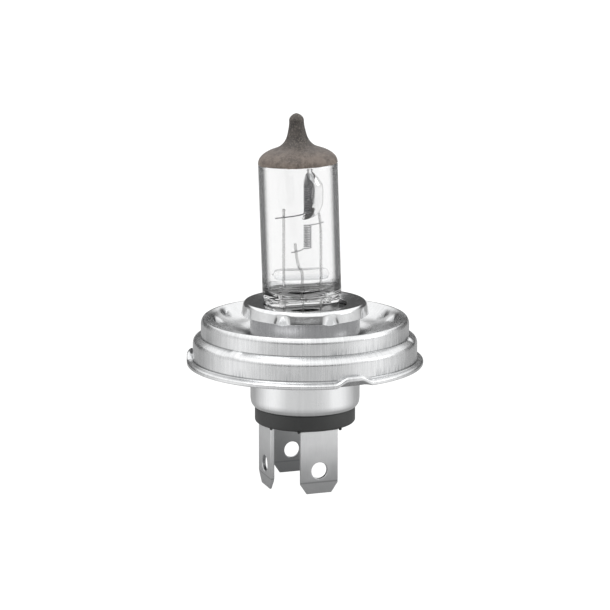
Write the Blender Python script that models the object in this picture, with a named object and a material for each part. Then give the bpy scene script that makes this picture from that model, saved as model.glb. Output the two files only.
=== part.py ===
"""Twin filament headlight bulb on a three blade prefocus collar, modelled in metres with +Z up."""
import bpy
import bmesh
import math
from mathutils import Matrix, Vector

MM = 0.001
GAP = 0.35                 # clearance between neighbouring pieces

# collar, pressed sheet
SHEET = 0.6
RIM_R = 23.75
RIM_TOP = 1.1
WIDE_R = 22.5
WIDE_TOP = 4.8
STEP_R = 20.85
CREST_R = 20.3
CREST_Z = 9.5
WAVE_ANGLES = (275.3, 155.3, 35.3)
WAVE_HALF = 8.0
WAVE_RISE = 1.5
LUG_ANGLES = (211.5, 331.5, 91.5)
LUG_HALF = 5.5
LUG_RISE = 0.6

# base shell and retainer
SHELL_R = 11.0
SHELL_WALL = 0.5
SHELL_TOP = 11.3
SHELL_BOTTOM = -8.95
RETAINER_R = 12.7
TAB_FIRST = 5.0
TAB_COUNT = 8

# insulator and blades
INSULATOR_R = 10.12
INSULATOR_TOP = -9.3
INSULATOR_BOTTOM = -12.15
SPIGOT_R = 9.4
SPIGOT_TOP = -6.6
BLADE_WIDTH = 7.8
BLADE_THICK = 0.8
BLADE_BOTTOM = -24.9
BLADE_OFFSET = 8.47
BLADE_OFFSET_LOW = 8.19
BLADE_HOLE_R = 1.67
BLADE_HOLE_Z = -20.15
TANG_WIDTH = 2.4
TANG_TOP = -5.2

# burner: glass, wires and coils, built along its own axis
LEAN = 1.76
ROW_TURN = -9.0
TUBE_R = 7.89
TUBE_WALL = 1.15
TUBE_TOP = 40.5
TIP_Z = 50.4
PINCH_HALF_W = 6.9
PINCH_HALF_T = 2.4
PINCH_BOTTOM = 3.2
CAVITY_BOTTOM = 16.5
CHANNEL_W = 2.6
CHANNEL_T = 1.3
WIRE_X = (-3.62, 0.11, 3.92)
MOUNT_SHIFT = (-0.62, 0.215)
WIRE_R = 0.3
LEAD_R = 0.35
FOIL_SIZE = (2.0, 0.3, 3.6)
FOIL_Z = 7.4
WIRE_FOOT = 9.6
COIL_R = 0.75
COIL_WIRE_R = 0.13


def clear_scene():
    for item in list(bpy.data.objects):
        bpy.data.objects.remove(item, do_unlink=True)


def make_material(name, color, roughness, metallic):
    mat = bpy.data.materials.new(name)
    mat.use_nodes = True
    shader = mat.node_tree.nodes["Principled BSDF"]
    shader.inputs["Base Color"].default_value = (*color, 1.0)
    shader.inputs["Roughness"].default_value = roughness
    shader.inputs["Metallic"].default_value = metallic
    mat.diffuse_color = (*color, 1.0)
    return mat


def make_object(name, bm, look, smooth=40.0):
    bmesh.ops.recalc_face_normals(bm, faces=bm.faces)
    mesh = bpy.data.meshes.new(name)
    bm.to_mesh(mesh)
    bm.free()
    for poly in mesh.polygons:
        poly.use_smooth = True
    mesh.set_sharp_from_angle(angle=math.radians(smooth))
    mesh.materials.append(make_material(name, *look))
    obj = bpy.data.objects.new(name, mesh)
    bpy.context.scene.collection.objects.link(obj)
    return obj


def add_loop_surface(bm, rings, close_rings=True):
    """Skin a list of equal length closed rings, optionally joining the last ring to the first."""
    verts = [[bm.verts.new(Vector(p) * MM) for p in ring] for ring in rings]
    count = len(verts[0])
    last = len(verts) if close_rings else len(verts) - 1
    for i in range(last):
        a = verts[i]
        b = verts[(i + 1) % len(verts)]
        for j in range(count):
            k = (j + 1) % count
            bm.faces.new((a[j], a[k], b[k], b[j]))
    return verts


def revolve(profile, segments=48, angles=None, warp=None):
    """Turn a closed (r, z) loop about Z; a warp can lift single points."""
    bm = bmesh.new()
    if angles is None:
        angles = [360.0 * i / segments for i in range(segments)]
    rings = []
    for r, z in profile:
        ring = []
        for angle in angles:
            rr, zz = (r, z) if warp is None else warp(r, z, angle)
            t = math.radians(angle)
            ring.append((rr * math.cos(t), rr * math.sin(t), zz))
        rings.append(ring)
    add_loop_surface(bm, rings)
    return bm


def revolve_solid(profile, segments=24):
    """Turn an open (r, z) line about Z and close both ends with a centre fan."""
    bm = bmesh.new()
    rings = []
    for r, z in profile:
        ring = []
        for i in range(segments):
            t = 2.0 * math.pi * i / segments
            ring.append((r * math.cos(t), r * math.sin(t), z))
        rings.append(ring)
    verts = add_loop_surface(bm, rings, close_rings=False)
    bm.faces.new(verts[0])
    bm.faces.new(verts[-1])
    return bm


def tube_along(points, radius, sides=8, bm=None):
    """Round wire through a list of points, with flat ends."""
    own = bmesh.new() if bm is None else bm
    pts = [Vector(p) for p in points]
    rings = []
    side = None
    for i, p in enumerate(pts):
        if i == 0:
            along = pts[1] - p
        elif i == len(pts) - 1:
            along = p - pts[i - 1]
        else:
            along = (pts[i + 1] - p).normalized() + (p - pts[i - 1]).normalized()
        along.normalize()
        if side is None:
            guess = Vector((1, 0, 0)) if abs(along.x) < 0.8 else Vector((0, 1, 0))
            side = along.cross(guess)
        side = side - along * side.dot(along)
        side.normalize()
        other = along.cross(side)
        ring = []
        for k in range(sides):
            t = 2.0 * math.pi * k / sides
            ring.append(p + radius * (math.cos(t) * side + math.sin(t) * other))
        rings.append(ring)
    verts = add_loop_surface(own, rings, close_rings=False)
    own.faces.new(verts[0])
    own.faces.new(verts[-1])
    return own


def helix_points(centre, radius, z0, z1, turns, per_turn, start):
    points = []
    steps = int(turns * per_turn)
    for i in range(steps + 1):
        t = math.radians(start) + 2.0 * math.pi * i / per_turn
        z = z0 + (z1 - z0) * i / steps
        points.append((centre[0] + radius * math.cos(t), centre[1] + radius * math.sin(t), z))
    return points


def box(centre, size):
    bm = bmesh.new()
    bmesh.ops.create_cube(bm, size=1.0)
    for v in bm.verts:
        v.co = Vector((centre[i] + v.co[i] * size[i] for i in range(3))) * MM
    return bm


def cut(target, bm, name):
    """Take one closed cutter away from the target, exactly."""
    bmesh.ops.recalc_face_normals(bm, faces=bm.faces)
    mesh = bpy.data.meshes.new(name)
    bm.to_mesh(mesh)
    bm.free()
    cutter = bpy.data.objects.new(name, mesh)
    bpy.context.scene.collection.objects.link(cutter)
    mod = target.modifiers.new(name, "BOOLEAN")
    mod.object = cutter
    mod.operation = "DIFFERENCE"
    mod.solver = "EXACT"
    bpy.context.view_layer.update()
    graph = bpy.context.evaluated_depsgraph_get()
    solid = bpy.data.meshes.new_from_object(target.evaluated_get(graph))
    target.modifiers.clear()
    target.data = solid
    bpy.data.objects.remove(cutter, do_unlink=True)


def bump(angle, centres, half):
    """Smooth 0..1 hump round each centre angle."""
    best = 0.0
    for centre in centres:
        off = abs((angle - centre + 180.0) % 360.0 - 180.0)
        if off < half:
            best = max(best, 0.5 + 0.5 * math.cos(math.pi * off / half))
    return best


def burner_matrix():
    lean = math.radians(LEAN)
    toward = Vector((-0.9455, 0.3256, 0.0)).normalized()
    axis = Vector((0, 0, 1)).cross(toward)
    tilt = Matrix.Rotation(lean, 4, axis)
    turn = Matrix.Rotation(math.radians(ROW_TURN), 4, "Z")
    return Matrix.Translation(Vector((-0.16, 0.055, 0.0)) * MM) @ tilt @ turn


def mount_matrix():
    """Wires, coils and shield stand upright on the same row as the pinch."""
    turn = Matrix.Rotation(math.radians(ROW_TURN), 4, "Z")
    return Matrix.Translation(Vector((MOUNT_SHIFT[0], MOUNT_SHIFT[1], 0.0)) * MM) @ turn


def mount_object(name, bm, look, smooth=40.0):
    bm.transform(mount_matrix())
    return make_object(name, bm, look, smooth)


def burner_object(name, bm, look, smooth=40.0):
    """Object built on the burner's own axis, then set at its slight lean."""
    bm.transform(burner_matrix())
    return make_object(name, bm, look, smooth)


# ---------------------------------------------------------------- collar and shell

def collar_angles():
    angles = {round(6.0 * i, 3) for i in range(60)}
    for centre in WAVE_ANGLES:
        for off in (-8.0, -4.0, 0.0, 4.0, 8.0):
            angles.add(round((centre + off) % 360.0, 3))
    for centre in LUG_ANGLES:
        for off in (-5.5, -2.75, 0.0, 2.75, 5.5):
            angles.add(round((centre + off) % 360.0, 3))
    ordered = sorted(angles)
    return [a for i, a in enumerate(ordered) if i == 0 or a - ordered[i - 1] > 0.9]


def prefocus_flange():
    outer = [
        (22.9, 0.0), (RIM_R, 0.0), (RIM_R, 0.75), (WIDE_R, RIM_TOP), (WIDE_R, WIDE_TOP),
        (22.25, 5.1), (21.5, 5.6), (STEP_R, 5.95), (STEP_R, 8.8), (CREST_R, CREST_Z),
        (19.6, 9.35), (18.6, 8.3), (16.6, 7.2), (13.6, 6.3), (11.4, 5.7),
    ]
    inner = [
        (11.4, 5.1), (13.8, 5.7), (16.9, 6.55), (19.1, 7.8), (20.2, 8.6), (20.25, 5.55),
        (21.0, 5.05), (21.6, 4.65), (21.9, 4.2), (21.9, 0.0),
    ]

    def warp(r, z, angle):
        if r > 23.0:
            z += WAVE_RISE * bump(angle, WAVE_ANGLES, WAVE_HALF)
        if STEP_R <= r <= 22.3 and 5.0 <= z <= 6.1:
            z += LUG_RISE * bump(angle, LUG_ANGLES, LUG_HALF)
        return r, z

    bm = revolve(outer + inner, angles=collar_angles(), warp=warp)
    return make_object("prefocus_flange", bm, ((0.72, 0.72, 0.71), 0.32, 1.0), 30.0)


def base_shell():
    inner_r = SHELL_R - SHELL_WALL
    profile = [
        (SHELL_R, SHELL_TOP), (SHELL_R, -7.5), (10.85, -8.2), (10.5, -8.7), (10.15, SHELL_BOTTOM),
        (9.75, SHELL_BOTTOM), (10.1, -8.4), (inner_r, -7.4), (inner_r, SHELL_TOP),
    ]
    bm = revolve(profile, 48)
    return make_object("base_shell", bm, ((0.7, 0.7, 0.69), 0.34, 1.0), 30.0)


def retainer_ring():
    profile = [
        (8.35, 11.75), (12.0, 12.75), (12.35, 12.5), (12.55, 12.0), (RETAINER_R, 11.2), (12.8, 10.5),
        (11.45, 10.5), (11.4, 11.2), (11.35, 11.9), (8.35, 11.3),
    ]
    angles = []
    for k in range(TAB_COUNT):
        mid = TAB_FIRST + 45.0 * k
        for off in (-4.2, -4.0, 4.0, 4.2, 9.0, 18.0, 27.0, 36.0):
            angles.append((mid + off) % 360.0)
    angles.sort()

    def warp(r, z, angle):
        off = abs((angle - TAB_FIRST + 22.5) % 45.0 - 22.5)
        if z < 10.6 and off < 4.1:
            z -= 0.7
        return r, z

    bm = revolve(profile, angles=angles, warp=warp)
    return make_object("retainer_ring", bm, ((0.8, 0.8, 0.8), 0.12, 1.0), 30.0)


def burner_holder():
    """Clip plate inside the shell: a shallow cup with a slot that fits round the pinch."""
    bm = revolve_solid([(10.1, 10.6), (10.1, 7.4), (9.7, 7.4), (9.7, 10.15)], 40)
    obj = make_object("burner_holder", bm, ((0.6, 0.6, 0.6), 0.35, 1.0), 30.0)
    size = (2.0 * (PINCH_HALF_W + 0.5), 2.0 * (PINCH_HALF_T + 0.5), 8.0)
    slot = box((0.0, 0.0, 10.5), size)
    slot.transform(burner_matrix())
    cut(obj, slot, "pinch_slot")
    return obj


def insulator():
    bm = revolve_solid([
        (SPIGOT_R, SPIGOT_TOP), (SPIGOT_R, INSULATOR_TOP), (INSULATOR_R, INSULATOR_TOP),
        (INSULATOR_R, INSULATOR_BOTTOM + 0.3), (INSULATOR_R - 0.3, INSULATOR_BOTTOM),
    ], 40)
    obj = make_object("insulator", bm, ((0.035, 0.035, 0.034), 0.5, 0.0), 30.0)
    tall = SPIGOT_TOP - INSULATOR_BOTTOM + 2.0
    mid = 0.5 * (SPIGOT_TOP + INSULATOR_BOTTOM)
    wide = TANG_WIDTH + 2.0 * 0.32
    thick = BLADE_THICK + 2.0 * 0.32
    cut(obj, box((0.0, -BLADE_OFFSET, mid), (wide, thick, tall)), "slot_a")
    cut(obj, box((0.0, BLADE_OFFSET, mid), (wide, thick, tall)), "slot_b")
    cut(obj, box((-BLADE_OFFSET_LOW, 0.0, mid), (thick, wide, tall)), "slot_c")
    return obj


def blade_outline():
    half = BLADE_WIDTH / 2.0
    tang = TANG_WIDTH / 2.0
    shoulder = INSULATOR_BOTTOM - GAP
    return [
        (-tang, TANG_TOP), (-tang, shoulder), (-half, shoulder), (-half, BLADE_BOTTOM + 2.0),
        (-half + 1.3, BLADE_BOTTOM), (half - 1.3, BLADE_BOTTOM), (half, BLADE_BOTTOM + 2.0),
        (half, shoulder), (tang, shoulder), (tang, TANG_TOP),
    ]


def blade(name, turn, offset):
    """Flat contact blade with a round hole; turn swings it round the axis."""
    bm = bmesh.new()
    front = [(x, -offset - BLADE_THICK / 2.0, z) for x, z in blade_outline()]
    back = [(x, -offset + BLADE_THICK / 2.0, z) for x, z in blade_outline()]
    verts = add_loop_surface(bm, [front, back], close_rings=False)
    bm.faces.new(verts[0])
    bm.faces.new(verts[-1])
    obj = make_object(name, bm, ((0.66, 0.66, 0.65), 0.36, 1.0), 30.0)
    drill = bmesh.new()
    rings = []
    for y in (-offset - 2.0, -offset + 2.0):
        ring = []
        for k in range(24):
            t = 2.0 * math.pi * k / 24
            ring.append((BLADE_HOLE_R * math.cos(t), y, BLADE_HOLE_Z + BLADE_HOLE_R * math.sin(t)))
        rings.append(ring)
    ends = add_loop_surface(drill, rings, close_rings=False)
    drill.faces.new(ends[0])
    drill.faces.new(ends[-1])
    cut(obj, drill, "drill")
    obj.data.transform(Matrix.Rotation(math.radians(turn), 4, "Z"))
    return obj


# ---------------------------------------------------------------- burner glass

def oval(half_w, half_t, z, power, count=32):
    """Closed ring between an ellipse (power 2) and a soft rectangle (high power)."""
    ring = []
    for k in range(count):
        t = 2.0 * math.pi * k / count
        c = math.cos(t)
        s = math.sin(t)
        m = (abs(c) ** power + abs(s) ** power) ** (-1.0 / power)
        ring.append((half_w * c * m, half_t * s * m, z))
    return ring


OUTER_DOME = (
    (TUBE_R, 40.5), (7.64, 41.5), (6.99, 42.3), (5.57, 43.1), (3.9, 43.7), (2.75, 44.6),
    (2.1, 45.8), (1.7, 47.1), (1.47, 48.3), (1.45, 49.2), (1.05, 49.9),
)
INNER_DOME = ((6.74, 39.6), (6.35, 40.5), (5.5, 41.2), (4.1, 41.8), (2.0, 42.3), (0.6, 42.8))
COAT_SKIN = 0.25
COAT_DROP = (0.0, 0.05, 0.25, 0.45, 0.5, 0.4, 0.25, 0.15, 0.1, 0.1, 0.4)


def glass_envelope():
    bm = bmesh.new()
    rings = [
        oval(PINCH_HALF_W, PINCH_HALF_T, PINCH_BOTTOM, 6.0),
        oval(PINCH_HALF_W, PINCH_HALF_T, 13.6, 6.0),
        oval(7.3, 3.4, 14.6, 4.0),
        oval(7.75, 5.6, 15.6, 2.6),
        oval(TUBE_R, 7.3, 16.5, 2.0),
        oval(TUBE_R, TUBE_R, 17.4, 2.0),
    ]
    rings.append(oval(TUBE_R, TUBE_R, TUBE_TOP - 0.3, 2.0))
    inset = GAP + COAT_SKIN
    for (r, z), drop in zip(OUTER_DOME, COAT_DROP):
        rings.append(oval(r - inset, r - inset, z - 0.2 - drop, 2.0))
    verts = add_loop_surface(bm, rings, close_rings=False)
    bm.faces.new(verts[0])
    bm.faces.new(verts[-1])
    obj = burner_object("glass_envelope", bm, ((0.93, 0.94, 0.95), 0.04, 0.0), 50.0)
    hollow = bmesh.new()
    inside = [oval(6.1, 2.8, CAVITY_BOTTOM, 2.4), oval(6.6, 5.0, 17.4, 2.0), oval(6.74, 6.74, 18.6, 2.0)]
    inside += [oval(r, r, z, 2.0) for r, z in INNER_DOME]
    ends = add_loop_surface(hollow, inside, close_rings=False)
    hollow.faces.new(ends[0])
    hollow.faces.new(ends[-1])
    hollow.transform(burner_matrix())
    cut(obj, hollow, "hollow")
    for x in WIRE_X:
        low = PINCH_BOTTOM - 1.0
        slot = box((x, 0.0, 0.5 * (low + 17.2)), (CHANNEL_W, CHANNEL_T, 17.2 - low))
        slot.transform(burner_matrix())
        cut(obj, slot, "channel")
    return obj


def anti_glare_coat():
    """Opaque skin over the dome and drawn down tip."""
    outer = [(r, z) for r, z in OUTER_DOME] + [(0.5, TIP_Z)]
    inner = []
    for (r, z), drop in zip(OUTER_DOME, COAT_DROP):
        inner.append((r - COAT_SKIN, z - 0.6 * COAT_SKIN * (drop > 0.0)))
    bm = bmesh.new()
    rings = [oval(r, r, z, 2.0, 32) for r, z in reversed(outer)] + [oval(r, r, z, 2.0, 32) for r, z in inner]
    verts = add_loop_surface(bm, rings, close_rings=False)
    bm.faces.new(verts[0])
    bm.faces.new(verts[-1])
    return burner_object("anti_glare_coat", bm, ((0.2, 0.175, 0.155), 0.45, 0.0), 40.0)


# ---------------------------------------------------------------- inside the glass

def dip_shield():
    """Half round spoon, open toward -X and -Y, closed at the foot and bevelled at the head."""
    angles = 10
    open_turn = math.radians(196.0)
    middle = 1.55
    stations = (
        (29.3, 0.7, 0.5, 0.9), (29.8, 1.7, 1.4, 0.5), (30.7, 2.3, 2.1, 0.15), (31.8, 2.6, 2.55, 0.0),
        (33.2, 2.7, 2.79, 0.0), (35.6, 2.7, 2.79, 0.0), (36.8, 2.5, 2.2, 0.0), (38.0, 1.7, 1.2, 0.0), (39.2, 0.7, 0.5, 0.0),
    )
    bm = bmesh.new()
    rings = []
    for z, half, deep, shift in stations:
        outer = []
        inner = []
        for k in range(angles + 1):
            t = math.radians(90.0 + 180.0 * k / angles)
            for line, wall in ((outer, 0.0), (inner, 0.25)):
                along = (deep - wall) * math.cos(t) + shift
                across = (half - wall) * math.sin(t)
                x = middle + along * math.cos(open_turn) - across * math.sin(open_turn)
                y = along * math.sin(open_turn) + across * math.cos(open_turn)
                line.append((x, y, z))
        rings.append(outer + inner[::-1])
    verts = add_loop_surface(bm, rings, close_rings=False)
    bm.faces.new(verts[0])
    bm.faces.new(verts[-1])
    return mount_object("dip_shield", bm, ((0.75, 0.75, 0.75), 0.15, 1.0), 40.0)


def low_beam_filament():
    coil = helix_points((1.2, -0.1), COIL_R, 30.7, 35.8, 8, 8, 180.0)
    tail = [(-5.3, -0.75, 29.75), (-2.5, -0.75, 29.95), (-0.2, -0.5, 30.3)]
    bm = tube_along(tail + coil, COIL_WIRE_R, 4)
    return mount_object("low_beam_filament", bm, ((0.3, 0.3, 0.31), 0.4, 1.0))


def high_beam_filament():
    coil = helix_points((1.17, 0.0), COIL_R, 23.5, 28.0, 7, 8, 200.0)
    foot = [(-2.2, -0.75, 22.75), (-0.9, -0.75, 22.95), (0.0, -0.6, 23.2)]
    head = [(1.7, -0.75, 28.2), (2.6, -0.85, 28.35), (4.3, -0.85, 28.7)]
    bm = tube_along(foot + coil + head, COIL_WIRE_R, 4)
    return mount_object("high_beam_filament", bm, ((0.3, 0.3, 0.31), 0.4, 1.0))


def low_beam_wire():
    x = WIRE_X[0]
    bm = tube_along([(x, 0, WIRE_FOOT), (x, 0, 31.2)], WIRE_R, 8)
    return mount_object("low_beam_support_wire", bm, ((0.5, 0.5, 0.5), 0.35, 1.0))


def high_beam_wire():
    x = WIRE_X[1]
    path = [(x, 0, WIRE_FOOT), (x, 0, 18.4), (-0.6, 0, 19.7), (-1.1, 0, 22.0), (-1.33, 0, 24.3)]
    bm = tube_along(path, WIRE_R, 8)
    return mount_object("high_beam_support_wire", bm, ((0.5, 0.5, 0.5), 0.35, 1.0))


def common_wire():
    x = WIRE_X[2]
    path = [(x, 0, WIRE_FOOT), (x, 0, 27.4), (x, 1.2, 28.9), (x, 2.5, 30.4), (x, 2.5, 36.4)]
    bm = tube_along(path, WIRE_R, 8)
    return mount_object("common_support_wire", bm, ((0.5, 0.5, 0.5), 0.35, 1.0))


def quartz_bridge():
    bm = box((-0.09, 0.0, 18.3), (11.3, 2.0, 1.9))
    obj = mount_object("quartz_bridge", bm, ((0.9, 0.92, 0.93), 0.06, 0.0))
    clear = 2.0 * (WIRE_R + 0.32)
    for x, wide in zip(WIRE_X, (clear, clear + 1.1, clear)):
        centre = x - 0.35 if x == WIRE_X[1] else x
        bore = box((centre, 0, 18.3), (wide, clear, 3.0))
        bore.transform(mount_matrix())
        cut(obj, bore, "bore")
    return obj


def foils():
    for name, x in zip(("foil_low_beam", "foil_high_beam", "foil_common"), WIRE_X):
        bm = box((x, 0.0, FOIL_Z), FOIL_SIZE)
        burner_object(name, bm, ((0.55, 0.54, 0.52), 0.3, 1.0))


def leads_and_welds():
    """Outer leads run from each foil down to the tang of its blade; a weld bead sits at each end."""
    lean = burner_matrix()
    ends = {
        "low_beam": (WIRE_X[0], Vector((-BLADE_OFFSET_LOW + 2.0, 0.0, -4.6)), Vector((1, 0, 0))),
        "high_beam": (WIRE_X[1], Vector((0.0, -BLADE_OFFSET + 2.0, -4.6)), Vector((0, 1, 0))),
        "common": (WIRE_X[2], Vector((0.0, BLADE_OFFSET - 2.0, -4.6)), Vector((0, -1, 0))),
    }
    for name, (x, foot, inward) in ends.items():
        top = (lean @ (Vector((x, 0, 5.2)) * MM)) / MM
        mid = (lean @ (Vector((x, 0, 1.8)) * MM)) / MM
        low = Vector((foot.x, foot.y, -2.4))
        bm = tube_along([top, mid, low, foot], LEAD_R, 8)
        make_object("lead_" + name, bm, ((0.6, 0.6, 0.6), 0.3, 1.0))
        bead = bmesh.new()
        bmesh.ops.create_uvsphere(bead, u_segments=10, v_segments=6, radius=0.62 * MM)
        spot = Vector((foot.x, foot.y, foot.z - 0.98)) - inward * 0.0
        bmesh.ops.translate(bead, verts=bead.verts, vec=spot * MM)
        make_object("weld_" + name, bead, ((0.62, 0.62, 0.6), 0.4, 1.0))


clear_scene()
prefocus_flange()
base_shell()
retainer_ring()
burner_holder()
insulator()
blade("terminal_high_beam", 0.0, BLADE_OFFSET)
blade("terminal_ground", 180.0, BLADE_OFFSET)
blade("terminal_low_beam", -90.0, BLADE_OFFSET_LOW)
glass_envelope()
anti_glare_coat()
dip_shield()
low_beam_filament()
high_beam_filament()
low_beam_wire()
high_beam_wire()
common_wire()
quartz_bridge()
foils()
leads_and_welds()
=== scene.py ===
import bpy
import bmesh
import math
from mathutils import Matrix, Vector, noise


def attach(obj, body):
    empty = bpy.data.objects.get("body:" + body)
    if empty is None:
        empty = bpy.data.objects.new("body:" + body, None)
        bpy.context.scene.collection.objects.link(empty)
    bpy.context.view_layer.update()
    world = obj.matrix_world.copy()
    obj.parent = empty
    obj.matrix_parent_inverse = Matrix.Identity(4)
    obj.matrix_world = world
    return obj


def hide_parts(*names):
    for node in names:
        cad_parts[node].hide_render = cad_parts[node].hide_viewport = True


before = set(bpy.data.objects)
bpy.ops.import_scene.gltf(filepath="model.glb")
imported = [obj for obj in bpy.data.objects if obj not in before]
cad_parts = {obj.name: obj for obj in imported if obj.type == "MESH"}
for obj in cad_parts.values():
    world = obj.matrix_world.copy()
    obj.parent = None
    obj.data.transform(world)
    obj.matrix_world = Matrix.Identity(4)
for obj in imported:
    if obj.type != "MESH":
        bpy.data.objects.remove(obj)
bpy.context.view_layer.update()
print("frame loaded:", len(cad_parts), "nodes")

mm = 0.001


# shader helpers: sockets that take sums, and one maker for nodes

class Wire:
    def __init__(self, finish, socket):
        self.finish = finish
        self.socket = socket

    def sum(self, operation, first, second):
        return self.finish.node("Math", {"operation": operation}, {0: first, 1: second})

    def __add__(self, other):
        return self.sum("ADD", self, other)

    def __radd__(self, other):
        return self.sum("ADD", other, self)

    def __sub__(self, other):
        return self.sum("SUBTRACT", self, other)

    def __rsub__(self, other):
        return self.sum("SUBTRACT", other, self)

    def __mul__(self, other):
        return self.sum("MULTIPLY", self, other)

    def __rmul__(self, other):
        return self.sum("MULTIPLY", other, self)

    def __truediv__(self, other):
        return self.sum("DIVIDE", self, other)

    def __pow__(self, other):
        return self.sum("POWER", self, other)


class Finish:
    def __init__(self, name, world=False):
        self.block = bpy.data.worlds.new(name) if world else bpy.data.materials.new(name)
        self.block.use_nodes = True
        self.tree = self.block.node_tree
        self.tree.nodes.clear()

    def node(self, kind, settings=None, values=None, out=0):
        made = self.tree.nodes.new("ShaderNode" + kind)
        for key, value in (settings or {}).items():
            if key == "stops":
                ramp = made.color_ramp
                while len(ramp.elements) < len(value):
                    ramp.elements.new(0.5)
                for stop, (place, tone) in zip(ramp.elements, value):
                    stop.position = place
                    stop.color = (*(tone if isinstance(tone, tuple) else (tone, tone, tone)), 1.0)
            else:
                setattr(made, key, value)
        for key, value in (values or {}).items():
            if isinstance(value, Wire):
                self.tree.links.new(value.socket, made.inputs[key])
            elif isinstance(value, tuple) and len(value) == 3 and made.inputs[key].type == "RGBA":
                made.inputs[key].default_value = (*value, 1.0)
            else:
                made.inputs[key].default_value = value
        return Wire(self, made.outputs[out] if len(made.outputs) else None)

    def place(self):  # object coordinates in millimetres, as three values
        spot = self.node("TexCoord", out=3)
        large = self.node("VectorMath", {"operation": "SCALE"}, {0: spot, "Scale": 1000.0})
        return [self.node("SeparateXYZ", None, {0: large}, axis) for axis in range(3)]

    def vector(self, x, y, z):
        return self.node("CombineXYZ", None, {0: x, 1: y, 2: z})

    def noise(self, vector, scale, detail=3.0, roughness=0.5, distortion=0.0):
        return self.node("TexNoise", None, {"Vector": vector, "Scale": scale, "Detail": detail,
                                            "Roughness": roughness, "Distortion": distortion})

    def ramp(self, factor, *stops):
        return self.node("ValToRGB", {"stops": stops}, {0: factor})

    def blend(self, factor, first, second, how="MIX"):
        return self.node("Mix", {"data_type": "RGBA", "blend_type": how, "clamp_factor": True},
                         {0: factor, 6: first, 7: second}, 2)

    def spread(self, value, low, high, newLow=0.0, newHigh=1.0):
        return self.node("MapRange", {"clamp": True},
                         {0: value, 1: low, 2: high, 3: newLow, 4: newHigh})

    def bump(self, height, depth):
        return self.node("Bump", None, {"Distance": depth * mm, "Height": height})

    def close(self, values):
        shader = self.node("BsdfPrincipled", None, values)
        self.node("OutputMaterial", None, {0: shader})
        return self.block


def rings(x, y):  # direction round the lamp axis, free of a seam
    away = (x * x + y * y) ** 0.5 + 0.0001
    return x / away, y / away, away


# mesh helpers

def softLoop(points, steps=5, closed=True):
    # every point is (radius, height, fillet); corners become short curves
    count = len(points)
    line = []
    for i, (r, z, fillet) in enumerate(points):
        here = Vector((r, z))
        if not closed and i in (0, count - 1):
            line.append((r, z))
            continue
        before = Vector(points[i - 1][:2]) - here
        after = Vector(points[(i + 1) % count][:2]) - here
        reach = min(fillet, before.length * 0.48, after.length * 0.48)
        if reach < 0.02:
            line.append((r, z))
            continue
        start = here + before.normalized() * reach
        end = here + after.normalized() * reach
        for k in range(steps + 1):
            t = k / steps
            p = start * (1 - t) ** 2 + here * 2 * t * (1 - t) + end * t * t
            line.append((p.x, p.y))
    return line


def thread(points, steps=8):
    # smooth line through points of any size
    pts = [Vector(p) for p in points]
    pts = [pts[0] * 2 - pts[1]] + pts + [pts[-1] * 2 - pts[-2]]
    line = []
    for i in range(1, len(pts) - 2):
        a, b, c, d = pts[i - 1:i + 3]
        for k in range(steps):
            t = k / steps
            line.append(0.5 * (2 * b + (c - a) * t + (2 * a - 5 * b + 4 * c - d) * t * t
                               + (3 * b - a - 3 * c + d) * t ** 3))
    line.append(pts[-2])
    return line


def skin(mesh, loops, joined=False, capped=False):
    grid = [[mesh.verts.new(Vector(p) * mm) for p in loop] for loop in loops]
    count = len(grid[0])
    last = len(grid) if joined else len(grid) - 1
    for i in range(last):
        low, high = grid[i], grid[(i + 1) % len(grid)]
        for j in range(count):
            k = (j + 1) % count
            mesh.faces.new((low[j], low[k], high[k], high[j]))
    if capped:
        mesh.faces.new(grid[0])
        mesh.faces.new(grid[-1])
    return grid


def turned(loop, count, warp=None, joined=True, capped=False):
    mesh = bmesh.new()
    loops = []
    for r, z in loop:
        ringOf = []
        for k in range(count):
            turn = 360.0 * k / count
            rr, zz = warp(r, z, turn) if warp else (r, z)
            t = math.radians(turn)
            ringOf.append((rr * math.cos(t), rr * math.sin(t), zz))
        loops.append(ringOf)
    skin(mesh, loops, joined, capped)
    return mesh


def rod(points, radius, sides=12):
    # round wire with softly closed ends
    mesh = bmesh.new()
    pts = [Vector(p) for p in points]
    loops = []
    side = None
    for i, p in enumerate(pts):
        along = (pts[min(i + 1, len(pts) - 1)] - pts[max(i - 1, 0)]).normalized()
        if side is None:
            side = along.cross(Vector((1, 0, 0)) if abs(along.x) < 0.8 else Vector((0, 1, 0)))
        side = (side - along * side.dot(along)).normalized()
        other = along.cross(side)
        turns = [2 * math.pi * k / sides for k in range(sides)]
        loops.append([p + radius * (math.cos(t) * side + math.sin(t) * other) for t in turns])
    for loop, end in ((loops[0], pts[0]), (loops[-1], pts[-1])):
        small = [end + (Vector(q) - end) * 0.55 for q in loop]
        away = (pts[0] - pts[1]).normalized() if loop is loops[0] else (pts[-1] - pts[-2]).normalized()
        small = [q + away * radius * 0.35 for q in small]
        loops = [small] + loops if loop is loops[0] else loops + [small]
    skin(mesh, loops, capped=True)
    return mesh


def near(turn, centres, half, flat):
    # 1 at a centre angle, 0 beyond half, flat on top
    best = 0.0
    for centre in centres:
        off = abs((turn - centre + 180) % 360 - 180)
        if off < half:
            t = min(1.0, (half - off) / (half - flat))
            best = max(best, t * t * (3 - 2 * t))
    return best


def piece(name, mesh, material, nodes, smooth=35, place=None, tidy=True):
    if tidy:
        bmesh.ops.recalc_face_normals(mesh, faces=mesh.faces)
    if place:
        mesh.transform(place)
    data = bpy.data.meshes.new(name)
    mesh.to_mesh(data)
    mesh.free()
    for face in data.polygons:
        face.use_smooth = True
    data.set_sharp_from_angle(angle=math.radians(smooth))
    for item in material if isinstance(material, list) else [material]:
        data.materials.append(item)
    made = bpy.data.objects.new(name, data)
    bpy.context.scene.collection.objects.link(made)
    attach(made, "root")
    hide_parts(*nodes)
    return made


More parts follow.
